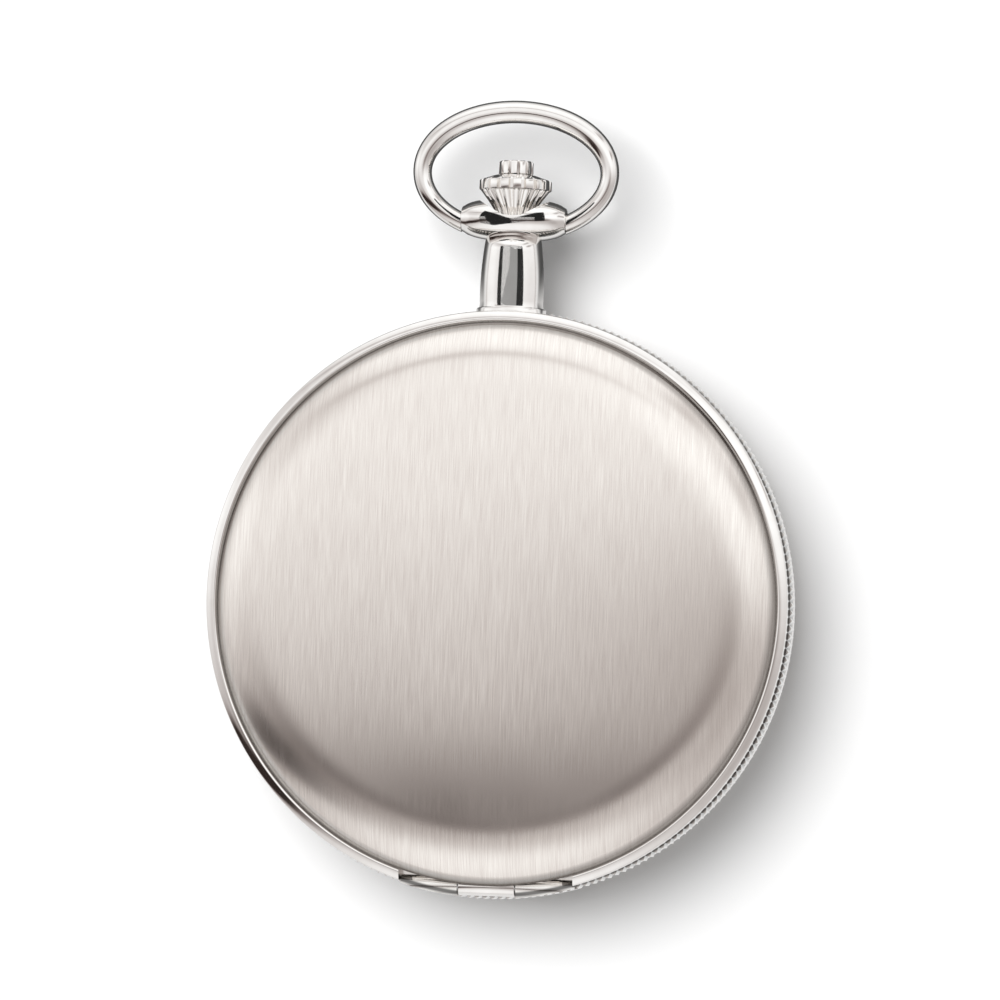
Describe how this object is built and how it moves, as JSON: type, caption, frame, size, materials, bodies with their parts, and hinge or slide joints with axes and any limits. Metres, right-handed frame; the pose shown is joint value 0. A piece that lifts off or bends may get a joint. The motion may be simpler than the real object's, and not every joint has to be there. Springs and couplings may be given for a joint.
{
  "type": "hunter pocket watch",
  "caption": "Closed-face pocket watch: round case with hinged domed covers, fluted crown with release button, swinging bow and a hand-wound movement.",
  "frame": {"origin": "middle of the small flat on the back cover, on which the closed watch lies", "axes": "+Y from the case centre to the crown at 12 o clock, +Z out of the dial through the front cover, +X to 3 o clock"},
  "size_m": [0.05, 0.0678, 0.0133],
  "materials": {
    "cover_satin": "satin brushed silver, grain along 12 to 6 o clock, polished rim",
    "case_silver": "polished silver",
    "band_silver": "polished silver with a fine reeded edge",
    "steel_polished": "polished steel",
    "steel_blued": "heat blued steel",
    "nickel_bridges": "striped nickel plated brass",
    "brass_gilt": "gilt brass",
    "ruby": "polished synthetic ruby",
    "crystal_glass": "clear mineral glass",
    "dial_enamel": "white enamel with printed numerals"
  },
  "bodies": {
    "case": {"case_band": "band_silver", "pendant": "case_silver", "lift_spring": "steel_polished", "front_hinge_pin": "steel_polished", "back_hinge_pin": "steel_polished", "front_bezel": "case_silver", "crystal": "crystal_glass", "dial": "dial_enamel", "cuvette_ring": "case_silver", "cuvette_glass": "crystal_glass", "movement_ring": "nickel_bridges", "mainplate": "nickel_bridges", "barrel_bridge": "nickel_bridges", "train_bridge": "nickel_bridges", "balance_cock": "nickel_bridges", "pallet_bridge": "nickel_bridges", "bridge_screws": "steel_blued", "case_screws": "steel_blued", "jewels": "ruby", "click_screw": "steel_blued", "click_spring": "steel_polished", "hairspring": "steel_blued"},
    "front_cover": {"front_cover": "cover_satin"},
    "back_cover": {"back_cover": "cover_satin"},
    "bow": {"bow": "case_silver"},
    "winding": {"winding_pinion": "steel_polished"},
    "crown": {"crown": "case_silver", "winding_stem": "steel_polished"},
    "button": {"release_button": "case_silver", "release_pin": "steel_polished"},
    "sliding_pinion": {"sliding_pinion": "steel_polished"},
    "latch": {"cover_latch": "steel_polished"},
    "crown_wheel": {"crown_wheel": "steel_polished", "contrate_wheel": "steel_polished", "crown_wheel_screw": "steel_blued"},
    "ratchet": {"ratchet_wheel": "steel_polished", "ratchet_screw": "steel_blued", "barrel_arbor": "steel_polished"},
    "click": {"click": "steel_polished"},
    "barrel": {"barrel": "brass_gilt", "barrel_cover": "brass_gilt", "mainspring": "steel_blued"},
    "centre": {"centre_wheel": "brass_gilt"},
    "third": {"third_wheel": "brass_gilt"},
    "fourth": {"fourth_wheel": "brass_gilt", "seconds_hand": "steel_blued"},
    "escape": {"escape_wheel": "steel_polished"},
    "pallets": {"pallet_fork": "steel_polished", "pallet_stones": "ruby"},
    "balance": {"balance_wheel": "brass_gilt", "balance_screws": "brass_gilt", "balance_staff": "steel_polished"},
    "cannon": {"cannon_pinion": "steel_polished", "minute_hand": "steel_blued"},
    "minute_wheel": {"minute_wheel": "brass_gilt"},
    "hour_wheel": {"hour_wheel": "brass_gilt", "hour_hand": "steel_blued"},
    "setting_wheel": {"setting_wheel": "steel_polished"}
  },
  "joints": [
    {"name": "front_cover_hinge", "type": "hinge", "parent": "case", "child": "front_cover", "pos_m": [0, -0.02395, 0.00898], "axis": [1, 0, 0], "range_deg": [0, 105]},
    {"name": "back_cover_hinge", "type": "hinge", "parent": "case", "child": "back_cover", "pos_m": [0, -0.02395, 0.00418], "axis": [-1, 0, 0], "range_deg": [0, 105]},
    {"name": "bow_hinge", "type": "hinge", "parent": "case", "child": "bow", "pos_m": [0, 0.03275, 0.00658], "axis": [1, 0, 0], "range_deg": [-90, 90]},
    {"name": "crown_spin", "type": "hinge", "parent": "case", "child": "winding", "pos_m": [0, 0.0152, 0.00658], "axis": [0, 1, 0], "continuous": true},
    {"name": "crown_pull", "type": "slide", "parent": "winding", "child": "crown", "axis": [0, 1, 0], "range_m": [0, 0.001]},
    {"name": "button_press", "type": "slide", "parent": "crown", "child": "button", "axis": [0, -1, 0], "range_m": [0, 0.0007]},
    {"name": "latch_draw", "type": "slide", "parent": "case", "child": "latch", "axis": [0, -1, 0], "range_m": [0, 0.0007]},
    {"name": "sliding_pinion_slide", "type": "slide", "parent": "winding", "child": "sliding_pinion", "axis": [0, -1, 0], "range_m": [0, 0.0008]},
    {"name": "crown_wheel_spin", "type": "hinge", "parent": "case", "child": "crown_wheel", "pos_m": [0, 0.0134, 0.00285], "axis": [0, 0, 1], "continuous": true},
    {"name": "ratchet_spin", "type": "hinge", "parent": "case", "child": "ratchet", "pos_m": [-0.0042, 0.00578, 0.00285], "axis": [0, 0, 1], "continuous": true},
    {"name": "click_lift", "type": "hinge", "parent": "case", "child": "click", "pos_m": [-0.01115, 0.00764, 0.00285], "axis": [0, 0, 1], "range_deg": [0, 10]},
    {"name": "seconds_spin", "type": "hinge", "parent": "case", "child": "fourth", "pos_m": [0, -0.0085, 0.0045], "axis": [0, 0, -1], "continuous": true},
    {"name": "third_spin", "type": "hinge", "parent": "case", "child": "third", "pos_m": [0.00409, -0.00479, 0.00505], "axis": [0, 0, -1], "continuous": true},
    {"name": "centre_spin", "type": "hinge", "parent": "case", "child": "centre", "pos_m": [0, 0, 0.0059], "axis": [0, 0, -1], "continuous": true},
    {"name": "barrel_spin", "type": "hinge", "parent": "case", "child": "barrel", "pos_m": [-0.0042, 0.00578, 0.00445], "axis": [0, 0, -1], "continuous": true},
    {"name": "escape_spin", "type": "hinge", "parent": "case", "child": "escape", "pos_m": [-0.00396, -0.01128, 0.0053], "axis": [0, 0, -1], "continuous": true},
    {"name": "pallet_swing", "type": "hinge", "parent": "case", "child": "pallets", "pos_m": [-0.00646, -0.00983, 0.0053], "axis": [0, 0, -1], "range_deg": [-3, 3]},
    {"name": "balance_swing", "type": "hinge", "parent": "case", "child": "balance", "pos_m": [-0.00943, -0.00686, 0.00405], "axis": [0, 0, -1], "range_deg": [-270, 270]},
    {"name": "hand_setting", "type": "hinge", "parent": "case", "child": "cannon", "pos_m": [0, 0, 0.0072], "axis": [0, 0, -1], "continuous": true},
    {"name": "minute_wheel_spin", "type": "hinge", "parent": "case", "child": "minute_wheel", "pos_m": [0.00144, 0.00249, 0.0071], "axis": [0, 0, -1], "continuous": true},
    {"name": "hour_spin", "type": "hinge", "parent": "case", "child": "hour_wheel", "pos_m": [0, 0, 0.0075], "axis": [0, 0, -1], "continuous": true},
    {"name": "setting_wheel_spin", "type": "hinge", "parent": "case", "child": "setting_wheel", "pos_m": [0.00047, 0.00799, 0.0071], "axis": [0, 0, -1], "continuous": true}
  ],
  "couplings": [
    {"joint": "latch_draw", "follows": "button_press", "ratio": 1},
    {"joint": "sliding_pinion_slide", "follows": "crown_pull", "ratio": 0.8},
    {"joint": "crown_wheel_spin", "follows": "crown_spin", "ratio": 0.66667},
    {"joint": "ratchet_spin", "follows": "crown_spin", "ratio": -0.44444},
    {"joint": "third_spin", "follows": "seconds_spin", "ratio": -0.13333},
    {"joint": "centre_spin", "follows": "seconds_spin", "ratio": 0.016667},
    {"joint": "barrel_spin", "follows": "seconds_spin", "ratio": -0.0027778},
    {"joint": "escape_spin", "follows": "seconds_spin", "ratio": -10},
    {"joint": "minute_wheel_spin", "follows": "hand_setting", "ratio": -0.33333},
    {"joint": "hour_spin", "follows": "hand_setting", "ratio": 0.083333},
    {"joint": "setting_wheel_spin", "follows": "hand_setting", "ratio": 0.21053}
  ]
}
